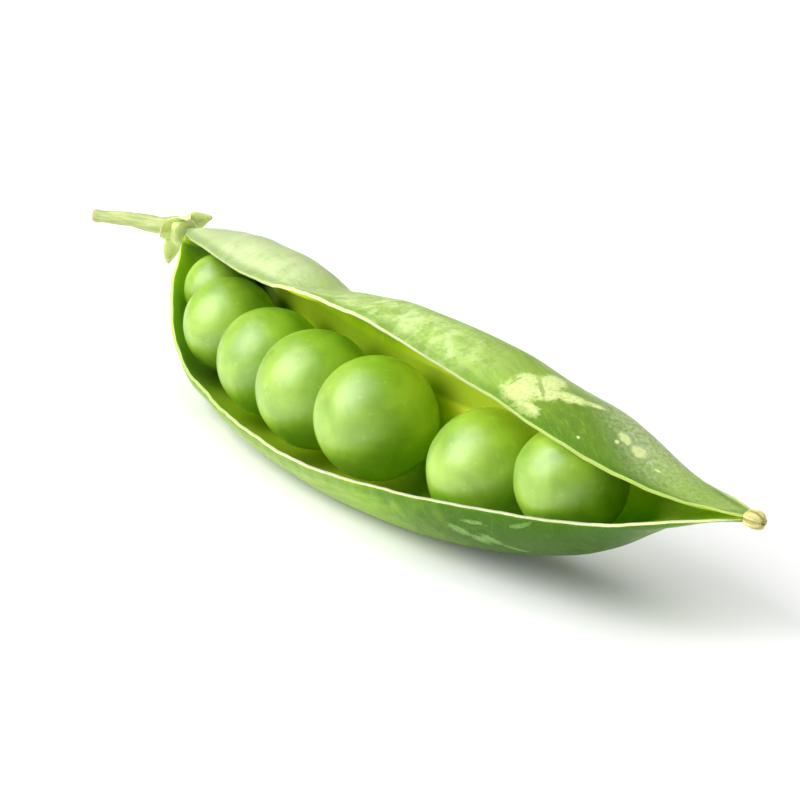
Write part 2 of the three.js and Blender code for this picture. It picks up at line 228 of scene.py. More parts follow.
# Distance from the middle of a mark, in half lengths, where it starts and where it is full,
# and how much the outlines of the small marks wobble
MARK_EDGE = (1.3, 0.7)
SMALL_WOBBLE = 2.2

# Step that keeps the noise inside the pod apart from the noise outside, in millimetres
INSIDE_STEP = 60.0

# Pace of the noises on the pod's skin per millimetre, and height of each relief in metres
BROAD_PACE = 0.14
CLOUDY_PACE = 0.55
FINE_PACE = 2.6
CELL_PACE = 9.0
POD_RELIEF = 0.00007
CELL_RELIEF = 0.000012
PEA_RELIEF = 0.00008
STALK_RELIEF = 0.00006
CALYX_RELIEF = 0.00007
STYLE_RELIEF = 0.00008

# Colours
POD_PALE = (0.34, 0.47, 0.11)
POD_MIDDLE = (0.26, 0.43, 0.035)
POD_DARK = (0.055, 0.14, 0.006)
# Pale wax with a painted reflection of the soft box, and a painted greyish sheen of the white
# surroundings
BLOOM_AND_SHEEN = (0.64, 0.78, 0.37)
GREY_SHEEN = (0.64, 0.71, 0.45)
FAR_BLOOM = (0.54, 0.61, 0.36)
SCUFFED = (0.76, 0.85, 0.38)
WELT = (0.30, 0.50, 0.13)
CREAM = (0.86, 0.92, 0.46)
RIM_GREEN = (0.44, 0.62, 0.17)
INSIDE_DARK = (0.42, 0.62, 0.012)
INSIDE_LIGHT = (0.60, 0.78, 0.02)
INSIDE_PALE = (0.66, 0.86, 0.05)
# Painted glow of light coming through the wall
PAINTED_INSIDE_GLOW = (0.92, 0.97, 0.09)
# Painted shade inside the pod: lower down, near the tip, and near the stalk
INSIDE_SHADE = (0.22, 0.38, 0.018)
INSIDE_STALK_SHADE = (0.14, 0.24, 0.03)
PLACENTA_OLIVE = (0.40, 0.54, 0.03)
PEA_DEEP = (0.21, 0.41, 0.014)
PEA_PALE = (0.38, 0.60, 0.045)
PEA_FRECKLE = (0.62, 0.80, 0.24)
PEA_SCAR = (0.50, 0.58, 0.20)
STALK_DEEP = (0.30, 0.38, 0.10)
STALK_PALE = (0.50, 0.57, 0.21)
STALK_BLUSH = (0.56, 0.54, 0.26)
CUT_BROWN = (0.56, 0.42, 0.26)
CALYX_DEEP = (0.64, 0.76, 0.26)
CALYX_PALE = (0.78, 0.87, 0.38)
CALYX_DRY = (0.84, 0.68, 0.48)
STYLE_TAN = (0.58, 0.53, 0.18)
STYLE_PALE = (0.76, 0.75, 0.30)
# Brown of the style's specks, also painted shade in its folds
STYLE_BROWN_AND_SHADE = (0.36, 0.26, 0.08)
FLOOR_GREY = (0.9, 0.9, 0.9)
FLOOR_WHITE = (0.92, 0.92, 0.92)
WHITE = (1, 1, 1)

# Tint of the waxy skin's gloss, how far red, green and blue light spread in each flesh
# beside each other, and the depth of that in metres
WAX = (0.7, 0.85, 0.3)
GREEN_FLESH = (0.8, 1.0, 0.15)
STALK_FLESH = (0.8, 1.0, 0.3)
DRY_FLESH = (1.0, 0.8, 0.4)
POD_DEPTH = 0.0018
PEA_DEPTH = 0.0006
STALK_DEPTH = 0.0008
CALYX_DEPTH = 0.0005
STYLE_DEPTH = 0.0004

# Camera: place in metres, degrees round from the pod's front, degrees above the floor,
# lens and sensor in millimetres, nearest and farthest in metres
CAMERA_PLACE = (0.18714, -0.10878, 0.07070)
CAMERA_TURN = 59.0
CAMERA_RISE = 16.5
CAMERA_LENS = 120.3
CAMERA_SENSOR = 36
CAMERA_NEAR = 0.01
CAMERA_FAR = 20

# Light: strength of the surroundings and of the floor's own glow near the pod and far away,
# with both distances, and soft boxes as name, place, size in metres and watts
WORLD_LIGHT = 0.14
FLOOR_GLOW = 0.07
FLOOR_FAR_GLOW = 0.7
FLOOR_GLOW_PLACES = (0.06, 0.35)
FLOOR_SIZE = 4.0
SOFT_BOXES = [
    ("key", (-0.12, -0.41, 0.35), 0.5, 3.9),
    ("top", (-0.05, 0.05, 0.5), 0.7, 2.4),
]


def column(stations, index, x):
    """Smooth values along a list of stations, for an array of x."""
    table = np.array(stations, dtype=float)
    place, value = table[:, 0], table[:, index]
    last = len(place) - 1
    ahead = np.minimum(np.arange(last + 1) + 1, last)
    behind = np.maximum(np.arange(last + 1) - 1, 0)
    slope = (value[ahead] - value[behind]) / (place[ahead] - place[behind])
    i = np.clip(np.searchsorted(place, x, side="left") - 1, 0, last - 1)
    length = place[i + 1] - place[i]
    t = np.clip((x - place[i]) / length, 0, 1)
    rise = value[i + 1] - value[i]
    curve = rise * (3 - 2 * t) * t * t
    start = slope[i] * length * t * (1 - t) ** 2
    end = slope[i + 1] * length * t * t * (1 - t)
    return value[i] + curve + start - end


def bell(value, middle, width):
    """1 at the middle, falling off evenly to both sides."""
    return np.exp(-(((value - middle) / width) ** 2))


def smooth(t):
    """0 to 1 with a soft start and end."""
    t = np.clip(t, 0, 1)
    return t * t * (3 - 2 * t)


def pea_swell(x):
    """How much of each pea shows through the wall at x."""
    return sum(bell(x, pea[0], pea[3] * SWELL_REACH) for pea in PEAS)


def bezier(a, b, c, d, t):
    """Cubic curve from a to d that leaves towards b and arrives from c."""
    s = 1 - t
    return s * s * s * a + 3 * s * s * t * b + 3 * s * t * t * c + t * t * t * d


def quarter_turn(level, side, lean, full, t):
    """Quarter turns from level points, crown or belly, out to side points that lean."""
    wide = (side[0] - level[0])[:, None]
    high = (side[1] - level[1])[:, None]
    y0, z0, y1, z1 = level[0][:, None], level[1][:, None], side[0][:, None], side[1][:, None]
    y = bezier(y0, y0 + full * wide, y1 - lean * wide, y1, t[None, :])
    z = bezier(z0, z0, z1 - full * high, z1, t[None, :])
    return np.stack([y, z], axis=-1)


def outer_arc(x):
    """Wall's outside at each x as [y, z] points, upper rim to back seam to lower rim."""
    seam = (column(BACK_SEAM, 1, x), column(BACK_SEAM, 2, x))
    upper = (column(UPPER_RIM, 1, x), column(UPPER_RIM, 2, x))
    lower = (column(LOWER_RIM, 1, x), column(LOWER_RIM, 2, x))
    crown = (upper[0] + (seam[0] - upper[0]) * CROWN_PLACE, column(CROWN, 1, x))
    belly = (lower[0] + (seam[0] - lower[0]) * BELLY_PLACE, column(BELLY, 1, x))
    t = np.arange(ARC_STEPS) / ARC_STEPS
    turns = [
        quarter_turn(crown, upper, UPPER_LEAN, UPPER_FULLNESS, 1 - t),
        quarter_turn(crown, seam, SEAM_LEAN, UPPER_BACK_FULLNESS, t),
        quarter_turn(belly, seam, SEAM_LEAN, LOWER_BACK_FULLNESS, 1 - t),
        quarter_turn(belly, lower, LOWER_LEAN, LOWER_FULLNESS, t),
        np.stack(lower, axis=-1)[:, None, :],
    ]
    return np.concatenate(turns, axis=1)


def outwards(points):
    """Outward directions along each open outline."""
    after = np.concatenate([points[:, 1:], points[:, -1:]], axis=1)
    before = np.concatenate([points[:, :1], points[:, :-1]], axis=1)
    across = after - before
    across /= np.maximum(np.linalg.norm(across, axis=-1, keepdims=True), TINY)
    return np.stack([-across[..., 1], across[..., 0]], axis=-1)


def lip(start, end, bead):
    """Round lip from start over to end, without either of them."""
    side = end - start
    length = np.maximum(np.linalg.norm(side, axis=-1, keepdims=True), TINY)
    normal = np.stack([side[..., 1], -side[..., 0]], axis=-1) / length
    turn = np.pi * LIP_SHARES
    middle = (start + end) / 2
    along_side = middle[:, None] - side[:, None] / 2 * np.cos(turn)[None, :, None]
    return along_side + normal[:, None] * bead[:, None, None] * np.sin(turn)[None, :, None]


def pod_stations():
    """X along the pod, and how far the wall has closed there."""
    t = np.arange(STATIONS + 1) / STATIONS
    eased = t + ((1 - np.cos(np.pi * t)) / 2 - t) * END_CROWDING
    x = POD_START + (POD_END - POD_START) * eased
    from_end = np.minimum((x - POD_START) / STALK_CLOSE, (POD_END - x) / TIP_CLOSE)
    return x, 1 - smooth(from_end)


def pod_walls(x, closing, v):
    """Wall's outside and inside at each x, as [y, z] points at shares v of the way round."""
    raw = outer_arc(x)
    out = outwards(raw)
    free = (1 - closing)[:, None]
    swell = pea_swell(x)[:, None]
    push = SWELL * swell * np.sin(np.pi * v) ** 2 * free
    push = push + BACK_RIB * bell(v, 0.5, BACK_RIB_WIDTH) * free
    wave = sum(size * np.sin(pace * x + phase) for size, pace, phase in RIM_WAVES)
    near_rim = bell(v, 0, RIM_WAVE_REACH) + bell(v, 1, RIM_WAVE_REACH)
    push = push + wave[:, None] * near_rim * free
    outer = raw + out * push[..., None]
    outer[..., 1] = np.maximum(outer[..., 1], 0)

    from_rim = np.minimum(np.minimum(v, 1 - v) / RIM_REACH, 1)
    wall = RIM_WALL + (WALL - RIM_WALL) * from_rim
    full = smooth((POD_END - x) / END_TAPER)[:, None]
    wall = END_WALL + (wall - END_WALL) * full
    ridge = (PLACENTA + SEED_STALK * swell) * full
    depth = wall + ridge * bell(v, 0.5, PLACENTA_WIDTH)
    hollow = raw + out * push[..., None] - out * depth[..., None]
    chord = outer[:, :1] + (outer[:, -1:] - outer[:, :1]) * v[..., None]
    return outer, hollow + (chord - hollow) * closing[:, None, None]


def over_rings(values):
    """Values round the outside, carried over the lower lip, the inside and the upper lip."""
    lips = np.ones((1, LIP_STEPS))
    return np.concatenate(
        [values, values[:, -1:] * lips, values[:, ::-1], values[:, :1] * lips], axis=1
    )


def pod_rings():
    """Rings of the pod wall: outside, lower lip, inside, upper lip."""
    x, closing = pod_stations()
    v = (np.arange(AROUND) / (AROUND - 1))[None, :]
    outer, inner = pod_walls(x, closing, v)
    bead = LIP * (1 - closing)
    lower_lip = lip(outer[:, -1], inner[:, -1], bead)
    upper_lip = lip(inner[:, 0], outer[:, 0], bead)
    rings = np.concatenate([outer, lower_lip, inner[:, ::-1], upper_lip], axis=1)
    hood = HOOD * smooth((x - POD_END + HOOD_REACH) / HOOD_REACH)[:, None]
    ahead = x[:, None] + hood * smooth(1 - 2 * over_rings(v))
    points = np.concatenate([ahead[..., None], rings], axis=-1)
    return points, *skin_places(x, outer)


def skin_places(x, outer):
    """For each point of the rings, its place in the skin and its distance from the rim.

    A place is x, the distance round the outside from the back seam (below 0 on the upper
    valve), both in millimetres, and 0 outside to 1 inside."""
    steps = np.linalg.norm(np.diff(outer, axis=1), axis=-1)
    run = np.concatenate([np.zeros((len(x), 1)), np.cumsum(steps, axis=1)], axis=1)
    from_seam = run - run[:, AROUND // 2][:, None]
    from_rim = np.minimum(run, run[:, -1:] - run)
    inside = np.concatenate([np.zeros(AROUND), LIP_SHARES, np.ones(AROUND), 1 - LIP_SHARES])
    places = np.broadcast_arrays(x[:, None], over_rings(from_seam), inside)
    return np.stack(places, axis=-1), over_rings(from_rim)


def to_row(points):
    """Millimetres in the design's frame to metres in the row frame."""
    return (np.asarray(points, dtype=float) - ORIGIN) * MM


def grid_faces(rows, size, start=0):
    """Quads between rings that close on themselves, facing out for clockwise rings."""
    i, j = np.meshgrid(np.arange(rows - 1), np.arange(size), indexing="ij")
    a = (start + i * size + j).ravel()
    b = (start + i * size + (j + 1) % size).ravel()
    return np.stack([a + size, b + size, b, a], axis=1).tolist()


def tube_faces(rows, size, start=0):
    """Faces of a closed tube: the quads between its rings, and one face over each end."""
    faces = grid_faces(rows, size, start)
    faces.append([start + i for i in range(size)])
    faces.append([start + (rows - 1) * size + i for i in range(size)][::-1])
    return faces


def dress(mesh, node, material):
    """Smooth object of a mesh in the row frame, which stands for a CAD node."""
    mesh.polygons.foreach_set("use_smooth", [True] * len(mesh.polygons))
    mesh.materials.append(material)
    thing = bpy.data.objects.new(mesh.name, mesh)
    bpy.context.scene.collection.objects.link(thing)
    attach(thing, "root")
    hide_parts(node)
    return thing


def dress_points(name, points, faces, node, material):
    """The same from points in millimetres in the design's frame, and faces."""
    mesh = bpy.data.meshes.new(name)
    mesh.from_pydata(to_row(points).reshape(-1, 3).tolist(), [], faces)
    mesh.update()
    return dress(mesh, node, material)


def store(thing, name, kind, values):
    """Stores a value for each corner point of a mesh, for its material to read."""
    layer = thing.data.attributes.new(name, kind, "POINT")
    field = "vector" if kind == "FLOAT_VECTOR" else "value"
    layer.data.foreach_set(field, np.asarray(values, dtype=np.float32).ravel())


def pod_skin(material):
    """The pod's wall as one closed skin, with flat ends where the wall has closed."""
    points, places, rim = pod_rings()
    rows, size = rim.shape
    faces = grid_faces(rows, size)
    inner_end = 2 * AROUND + LIP_STEPS - 1
    for start, turned in ((0, False), ((rows - 1) * size, True)):
        caps = [[i, i + 1, inner_end - i - 1, inner_end - i] for i in range(AROUND - 1)]
        caps.append([AROUND - 1 + k for k in range(LIP_STEPS + 2)])
        caps.append([inner_end + k for k in range(LIP_STEPS + 1)] + [0])
        for cap in caps:
            cap = [start + i for i in cap]
            faces.append(cap[::-1] if turned else cap)
    thing = dress_points("pod_skin", points, faces, "pod_shell", material)
    store(thing, "skin", "FLOAT_VECTOR", places)
    store(thing, "rim", "FLOAT", rim)


class Look:
    """A material under construction, with short names for its nodes."""

    def __init__(self, name):
        self.material = bpy.data.materials.new(name)
        self.material.use_nodes = True
        self.tree = self.material.node_tree
        self.tree.nodes.clear()

    def set(self, socket, value):
        """Links a socket to another, or gives it a number, a vector or a colour."""
        if isinstance(value, bpy.types.NodeSocket):
            self.tree.links.new(value, socket)
        elif isinstance(value, tuple) and len(value) == 3 and socket.type == "RGBA":
            socket.default_value = (*value, 1.0)
        else:
            socket.default_value = value

    def node(self, kind, inputs=None, **settings):
        made = self.tree.nodes.new(kind)
        for key, value in settings.items():
            setattr(made, key, value)
        for key, value in (inputs or {}).items():
            self.set(made.inputs[key], value)
        return made

    def attribute(self, name, output):
        return self.node("ShaderNodeAttribute", attribute_name=name).outputs[output]

    def split(self, vector):
        return self.node("ShaderNodeSeparateXYZ", {0: vector}).outputs

    def join(self, x, y, z):
        return self.node("ShaderNodeCombineXYZ", {0: x, 1: y, 2: z}).outputs[0]

    def math(self, operation, a, b=0.0):
        return self.node("ShaderNodeMath", {0: a, 1: b}, operation=operation).outputs[0]

    def length(self, vector):
        made = self.node("ShaderNodeVectorMath", {0: vector}, operation="LENGTH")
        return made.outputs["Value"]

    def add(self, *terms):
        total = terms[0]
        for term in terms[1:]:
            total = self.math("ADD", total, term)
        return total

    def times(self, *terms):
        product = terms[0]
        for term in terms[1:]:
            product = self.math("MULTIPLY", product, term)
        return product

    def centred(self, value, size):
        """A noise moved to lie round 0, times a size."""
        return self.times(self.math("SUBTRACT", value, 0.5), size)

    def scaled(self, vector, scale, turn=0.0):
        """A vector turned by degrees about its Z and scaled."""
        inputs = {"Vector": vector, "Scale": scale, "Rotation": (0, 0, math.radians(turn))}
        return self.node("ShaderNodeMapping", inputs).outputs[0]

    def noise(self, vector, scale, detail=2.0, rough=0.5, distortion=0.0):
        inputs = {
            "Vector": vector, "Scale": scale, "Detail": detail,
            "Roughness": rough, "Distortion": distortion,
        }
        return self.node("ShaderNodeTexNoise", inputs).outputs["Fac"]

    def ramp(self, value, low, high, to_low=0.0, to_high=1.0):
        """Soft step from to_low at low to to_high at high."""
        inputs = {0: value, 1: low, 2: high, 3: to_low, 4: to_high}
        made = self.node("ShaderNodeMapRange", inputs, interpolation_type="SMOOTHSTEP")
        return made.outputs[0]

    def mix(self, share, a, b):
        made = self.node("ShaderNodeMix", {0: share, 6: a, 7: b}, data_type="RGBA")
        return made.outputs[2]

    def layered(self, color, *layers):
        """A colour with others laid over it in turn, each as its share and the colour."""
        for share, tint in layers:
            color = self.mix(share, color, tint)
        return color

    def bump(self, height, distance, normal=None):
        inputs = {"Height": height, "Distance": distance}
        if normal is not None:
            inputs["Normal"] = normal
        return self.node("ShaderNodeBump", inputs).outputs[0]

    def finish(self, inputs):
        shader = self.node("ShaderNodeBsdfPrincipled", inputs)
        self.node("ShaderNodeOutputMaterial", {"Surface": shader.outputs[0]})
        return self.material


def flesh(weight, spread, scale):
    """Shader inputs for light that spreads under the skin, with its scale in metres."""
    return {
        "Subsurface Weight": weight,
        "Subsurface Radius": spread,
        "Subsurface Scale": scale,
    }


class PodLook(Look):
    """Material of the pod's wall, over the places that skin_places gives."""

    def __init__(self):
        super().__init__("pod_wall")
        self.x, self.around, self.inside = self.split(self.attribute("skin", "Vector"))
        self.rim = self.attribute("rim", "Fac")
        self.from_seam = self.math("ABSOLUTE", self.around)
        self.outside = self.ramp(self.inside, 0.5, 0.0)
        self.flat = self.join(self.x, self.around, 0.0)
        self.solid = self.join(self.x, self.around, self.times(self.inside, INSIDE_STEP))
        self.broad = self.noise(self.solid, BROAD_PACE, 3.0)
        self.cloudy = self.noise(self.solid, CLOUDY_PACE, 4.0, 0.6, 0.6)
        self.fine = self.noise(self.solid, FINE_PACE, 4.0, 0.65)
        slanted = self.scaled(self.solid, (0.35, 2.2, 1.0), 32)
        self.streaks = self.noise(slanted, 1.0, 3.0, 0.6, 0.4)
        self.veins = self.vein_mask()
        self.bloom_sheen = self.bloom_sheen_mask()
        self.small = self.centred(self.fine, SMALL_WOBBLE)
        self.scuff = self.scuff_mask()
        self.spots = self.times(self.marks(self.small, SPOTS), self.outside)
        self.welts = self.times(self.marks(self.small, WELTS), self.outside)

    def marks(self, wobble, places):
        """1 inside wobbly ovals on the flat skin."""
        nearest = None
        for x, around, long, wide, degrees in places:
            inputs = {
                "Vector": self.flat, "Location": (x, around, 0),
                "Rotation": (0, 0, math.radians(degrees)), "Scale": (long / 2, wide / 2, 1),
            }
            mapped = self.node("ShaderNodeMapping", inputs, vector_type="TEXTURE").outputs[0]
            reach = self.length(mapped)
            nearest = reach if nearest is None else self.math("MINIMUM", nearest, reach)
        return self.ramp(self.add(nearest, wobble), *MARK_EDGE)

    def vein_mask(self):
        """Faint net of veins, stretched from the seam towards both rims."""
        shift = self.node("ShaderNodeTexNoise", {"Vector": self.solid, "Scale": 0.5}).outputs[1]
        bent = self.node("ShaderNodeVectorMath", {0: self.solid, 1: shift}, operation="ADD")
        stretched = self.scaled(bent.outputs[0], (0.75, 0.34, 1.0), 28)
        inputs = {"Vector": stretched, "Scale": 1.0}
        net = self.node("ShaderNodeTexVoronoi", inputs, feature="DISTANCE_TO_EDGE")
        return self.times(self.ramp(net.outputs["Distance"], 0.09, 0.01), self.outside)

    def bloom_sheen_mask(self):
        """Mottled wax on the upper valve's front, partly a painted reflection of the soft box.
        """
        near_rim = self.times(self.ramp(self.around, -7.5, -10.5), self.ramp(self.x, 22.0, 12.0))
        mottled = self.ramp(self.add(self.cloudy, self.times(self.fine, 0.45)), 0.56, 0.94)
        return self.times(mottled, near_rim)

    def scuff_mask(self):
        """The scuffed place, less its crack."""
        wobble = self.add(self.centred(self.fine, 1.7), self.centred(self.cloudy, 1.2))
        scuff = self.times(self.marks(wobble, SCUFF), self.outside)
        crack = self.marks(self.small, CRACK)
        return self.times(scuff, self.math("SUBTRACT", 1.0, self.times(crack, 0.7)))

    def ground(self):
        """Pale green with streaks and veins, and painted shade that makes it darker at the tip
        and low on the lower valve.
        """
        # Painted shade: darker towards the tip and low on the lower valve, added to the random
        # tone
        right = self.ramp(self.x, 18.0, 32.0)
        lower = self.times(self.ramp(self.around, 2.0, 13.0), self.ramp(self.x, 0.0, 20.0))
        tone = self.add(
            self.times(right, 0.34),
            self.times(lower, 0.7),
            self.centred(self.broad, 0.5),
            self.centred(self.cloudy, 0.45),
            0.17,
        )
        return self.layered(
            POD_PALE,
            (self.ramp(tone, 0.0, 0.45), POD_MIDDLE),
            (self.ramp(tone, 0.45, 0.95), POD_DARK),
            (self.times(self.ramp(self.streaks, 0.35, 0.75), 0.35), POD_DARK),
            (self.times(self.veins, self.ramp(self.cloudy, 0.3, 0.7), 0.1), POD_PALE),
        )

    def flecked(self, color):
        """Front of the upper valve near the tip: darker, with fine flecks along the pod."""
        tip = self.times(self.ramp(self.x, 21.5, 28.0), self.ramp(self.around, -3.5, -6.5))
        flecks = self.noise(self.scaled(self.solid, (0.9, 4.5, 1.0), -8), 1.0, 3.0, 0.6, 0.3)
        return self.layered(
            color,
            (self.times(tip, 0.6), POD_DARK),
            (self.times(tip, self.ramp(flecks, 0.5, 0.68), 0.5), POD_MIDDLE),
        )

    def waxy_and_sheen(self, color):
        """Pale wax on the upper valve's front, partly a painted reflection of the soft box,
        a painted greyish sheen of the white surroundings on its crown, and pale wax near the
        stalk.
        """
        back = self.times(self.ramp(self.around, -8.4, -4.2), self.ramp(self.around, 6.0, 0.0))
        grey_sheen = self.times(
            back, self.ramp(self.x, 8.0, 24.0, 0.45, 1.0), self.ramp(self.x, 38.0, 31.0, 0.35)
        )
        far = self.times(self.ramp(self.x, -8.0, -18.0), self.ramp(self.around, 0.0, -3.0))
        return self.layered(
            color,
            # pale wax, partly a painted reflection of the soft box
            (self.times(self.bloom_sheen, 0.7), BLOOM_AND_SHEEN),
            # painted greyish sheen that reflects the white surroundings
            (self.times(grey_sheen, self.ramp(self.fine, 0.2, 0.8)), GREY_SHEEN),
            (self.times(far, self.ramp(self.cloudy, 0.25, 0.7, 0.4, 0.75)), FAR_BLOOM),
        )

    def marked(self, color):
        """Scuffs, pale spots and raised welts."""
        return self.layered(
            color,
            (self.times(self.scuff, self.ramp(self.fine, 0.3, 0.6, 0.45, 0.85)), SCUFFED),
            (self.times(self.spots, 0.8), SCUFFED),
            (self.times(self.welts, self.ramp(self.fine, 0.3, 0.7, 0.35, 0.8)), WELT),
        )

    def seamed(self, color):
        """Pale ridge of the back seam between two darker lines."""
        ridge = self.times(self.ramp(self.from_seam, 0.5, 0.2), self.outside)
        beside = self.math("ABSOLUTE", self.math("SUBTRACT", self.from_seam, 0.75))
        return self.layered(
            color,
            (self.times(self.ramp(beside, 0.4, 0.1), self.outside, 0.4), POD_DARK),
            (self.times(ridge, 0.55), BLOOM_AND_SHEEN),
        )

    def within(self):
        """Inside: yellow green with slanting folds and the olive placenta, with a painted glow
        of light through the wall high up, and painted shade lower down and at both ends."""
        slanted = self.scaled(self.solid, (0.5, 0.12, 1), 30)
        folds = self.ramp(self.noise(slanted, 1.0, 2.0), 0.55, 0.7)
        painted_glow = self.times(self.ramp(self.around, 6.0, 1.0), self.ramp(self.x, -8.0, 4.0))
        low = self.times(self.ramp(self.around, 4.5, 9.0), self.ramp(self.x, -16.0, 2.0, 0.6))
        return self.layered(
            INSIDE_DARK,
            (self.ramp(self.broad, 0.3, 0.7), INSIDE_LIGHT),
            (self.times(folds, 0.35), INSIDE_PALE),
            # painted glow of light through the upper valve
            (self.times(painted_glow, 0.9), PAINTED_INSIDE_GLOW),
            # painted shade near the stalk, lower down and near the tip
            (self.times(self.ramp(self.x, -24.0, -32.0), 0.95), INSIDE_STALK_SHADE),
            (self.times(low, 0.85), INSIDE_SHADE),
            (self.times(self.ramp(self.x, 27.0, 33.0), 0.85), INSIDE_SHADE),
            (self.times(self.ramp(self.from_seam, 1.5, 0.9), 0.8), PLACENTA_OLIVE),
        )

    def rimmed(self, color):
        """Darker line beside the rim, and the cream rim itself, greener towards both ends."""
        edge = self.times(self.ramp(self.rim, 1.3, 0.35), self.outside, 0.45)
        cream = self.ramp(self.add(self.rim, self.times(self.fine, 0.05)), 0.13, 0.04)
        upper_tip = self.times(self.ramp(self.around, 1.0, -1.0), self.ramp(self.x, 4.0, 26.0))
        greener = self.math("MAXIMUM", upper_tip, self.ramp(self.x, -4.0, -20.0, 0.0, 0.7))
        rim_color = self.mix(greener, CREAM, RIM_GREEN)
        return self.layered(color, (edge, POD_DARK), (cream, rim_color))

    def roughness(self):
        return self.add(
            0.30, self.times(self.fine, 0.16), self.times(self.scuff, 0.2),
            self.times(self.bloom_sheen, 0.12),
        )

    def relief(self):
        """Bumps of the skin, with its fine cells over them."""
        height = self.add(
            self.times(self.fine, 0.25), self.times(self.cloudy, 0.5),
            self.times(self.veins, 0.12), self.times(self.welts, 1.1),
            self.times(self.scuff, -0.3), self.times(self.streaks, 0.4),
        )
        cells = self.noise(self.solid, CELL_PACE, 2.0)
        return self.bump(cells, CELL_RELIEF, self.bump(height, POD_RELIEF))


def pod_material():
    look = PodLook()
    outside = look.seamed(look.marked(look.waxy_and_sheen(look.flecked(look.ground()))))
    color = look.mix(look.ramp(look.inside, 0.55, 0.9), outside, look.within())
    return look.finish(
        {
            "Base Color": look.rimmed(color),
            "Roughness": look.roughness(),
            "Specular IOR Level": 0.12,
            "Specular Tint": WAX,
            **flesh(0.85, GREEN_FLESH, POD_DEPTH),
            "Coat Weight": 0.02,
            "Coat Roughness": 0.3,
            "Normal": look.relief(),
        }
    )


def pea_material():
    look = Look("pea_skin")
    place = look.attribute("pea", "Vector")
    cloud = look.noise(place, 1.3, 3.0, 0.55, 0.3)
    fine = look.noise(place, 5.0, 3.0)
    freckle = look.ramp(look.noise(place, 9.0, 1.0), 0.66, 0.74)
    color = look.mix(look.ramp(cloud, 0.3, 0.72), PEA_DEEP, PEA_PALE)
    color = look.mix(look.times(freckle, 0.18), color, PEA_FRECKLE)
    scar = look.attribute("scar", "Fac")
    color = look.mix(look.ramp(scar, 0.3, 0.7), color, PEA_SCAR)
    relief = look.add(look.times(cloud, 1.0), look.times(fine, 0.25))
    return look.finish(
        {
            "Base Color": color,
            "Roughness": look.add(0.38, look.times(fine, 0.14)),
            "Specular IOR Level": 0.85,
            **flesh(0.5, GREEN_FLESH, PEA_DEPTH),
            "Coat Weight": 0.6,
            "Coat Roughness": 0.4,
            "Normal": look.bump(relief, PEA_RELIEF),
        }
    )


def seam_way(x, y, z):
    """Direction from a pea's middle to the back seam."""
    seam_y, seam_z = (float(column(BACK_SEAM, k, np.array([x]))[0]) for k in (1, 2))
    return Vector((0, seam_y - y, seam_z - z)).normalized()


def pea_skin(number, pea, material):
    """A slightly lumpy ball with the scar of its seed stalk towards the seam."""
    x, y, z, radius, lumpy = pea
    shape = bmesh.new()
    bmesh.ops.create_icosphere(shape, subdivisions=PEA_FINENESS, radius=1.0)
    shift = Vector([number * step for step in LUMP_STEP])
    seam = seam_way(x, y, z)
    scars = []
    for corner in shape.verts:
        way = corner.co.normalized()
        lump = sum(size * noise.noise(way * pace + shift) for pace, size in LUMPS)
        off = way - seam
        scar = math.exp(-((off.x / SCAR_LENGTH) ** 2 + (off.yz.length / SCAR_WIDTH) ** 2))
        scars.append(scar)
        corner.co = way * radius * (1 + lumpy * lump - SCAR_DEPTH * scar) * MM
    mesh = bpy.data.meshes.new(f"pea_skin_{number}")
    shape.to_mesh(mesh)
    shape.free()
    middle = to_row((x, y, z))
    mesh.transform(Matrix.Translation(middle.tolist()))
    thing = dress(mesh, f"pea_{number}", material)
    corners = np.array([v.co for v in mesh.vertices])
    places = (corners - middle) / (radius * MM) + number * SKIN_STEP
    store(thing, "pea", "FLOAT_VECTOR", places)
    store(thing, "scar", "FLOAT", scars)


def clockwise(sides):
    """Angles round a tube, clockwise."""
    return -2 * np.pi * np.arange(sides) / sides


def rippled(waves, angle, twist):
    """Sum of waves round a tube: each size, number, share of the twist and phase."""
    return sum(
        size * np.cos(number * angle + share * twist + phase)
        for size, number, share, phase in waves
    )


def sweep(centres, across, outlines):
    """Rings of a tube. Outlines turn clockwise seen from the last station."""
    ahead = np.gradient(centres, axis=0)
    ahead /= np.linalg.norm(ahead, axis=1, keepdims=True)
    across = across - ahead * np.sum(across * ahead, axis=1, keepdims=True)
    across /= np.linalg.norm(across, axis=1, keepdims=True)
    up = np.cross(ahead, across)
    return (
        centres[:, None]
        + across[:, None] * outlines[..., :1]
        + up[:, None] * outlines[..., 1:]
    )


def sunk_end(rings, middle, way, steps):
    """Rings with more that step inwards over their last end, as share of it and height."""
    last = rings[-1]
    more = [middle + (last - middle) * share + way * height for share, height in steps]
    return np.concatenate([rings, np.array(more)])


def smooth_path(points, steps):
    """Evenly stepped points on a smooth curve through a few points."""
    points = np.asarray(points, dtype=float)
    ends = [2 * points[0] - points[1], *points, 2 * points[-1] - points[-2]]
    run = []
    for a, b, c, d in zip(ends, ends[1:], ends[2:], ends[3:]):
        for t in np.arange(0, 1, 0.05):
            run.append(
                0.5 * (2 * b + (c - a) * t + (2 * a - 5 * b + 4 * c - d) * t * t
                       + (3 * b - a - 3 * c + d) * t**3)
            )
    run = np.array([*run, points[-1]])
    length = np.concatenate([[0], np.cumsum(np.linalg.norm(np.diff(run, axis=0), axis=1))])
    even = np.linspace(0, length[-1], steps + 1)
    return np.stack([np.interp(even, length, run[:, k]) for k in range(3)], axis=1)


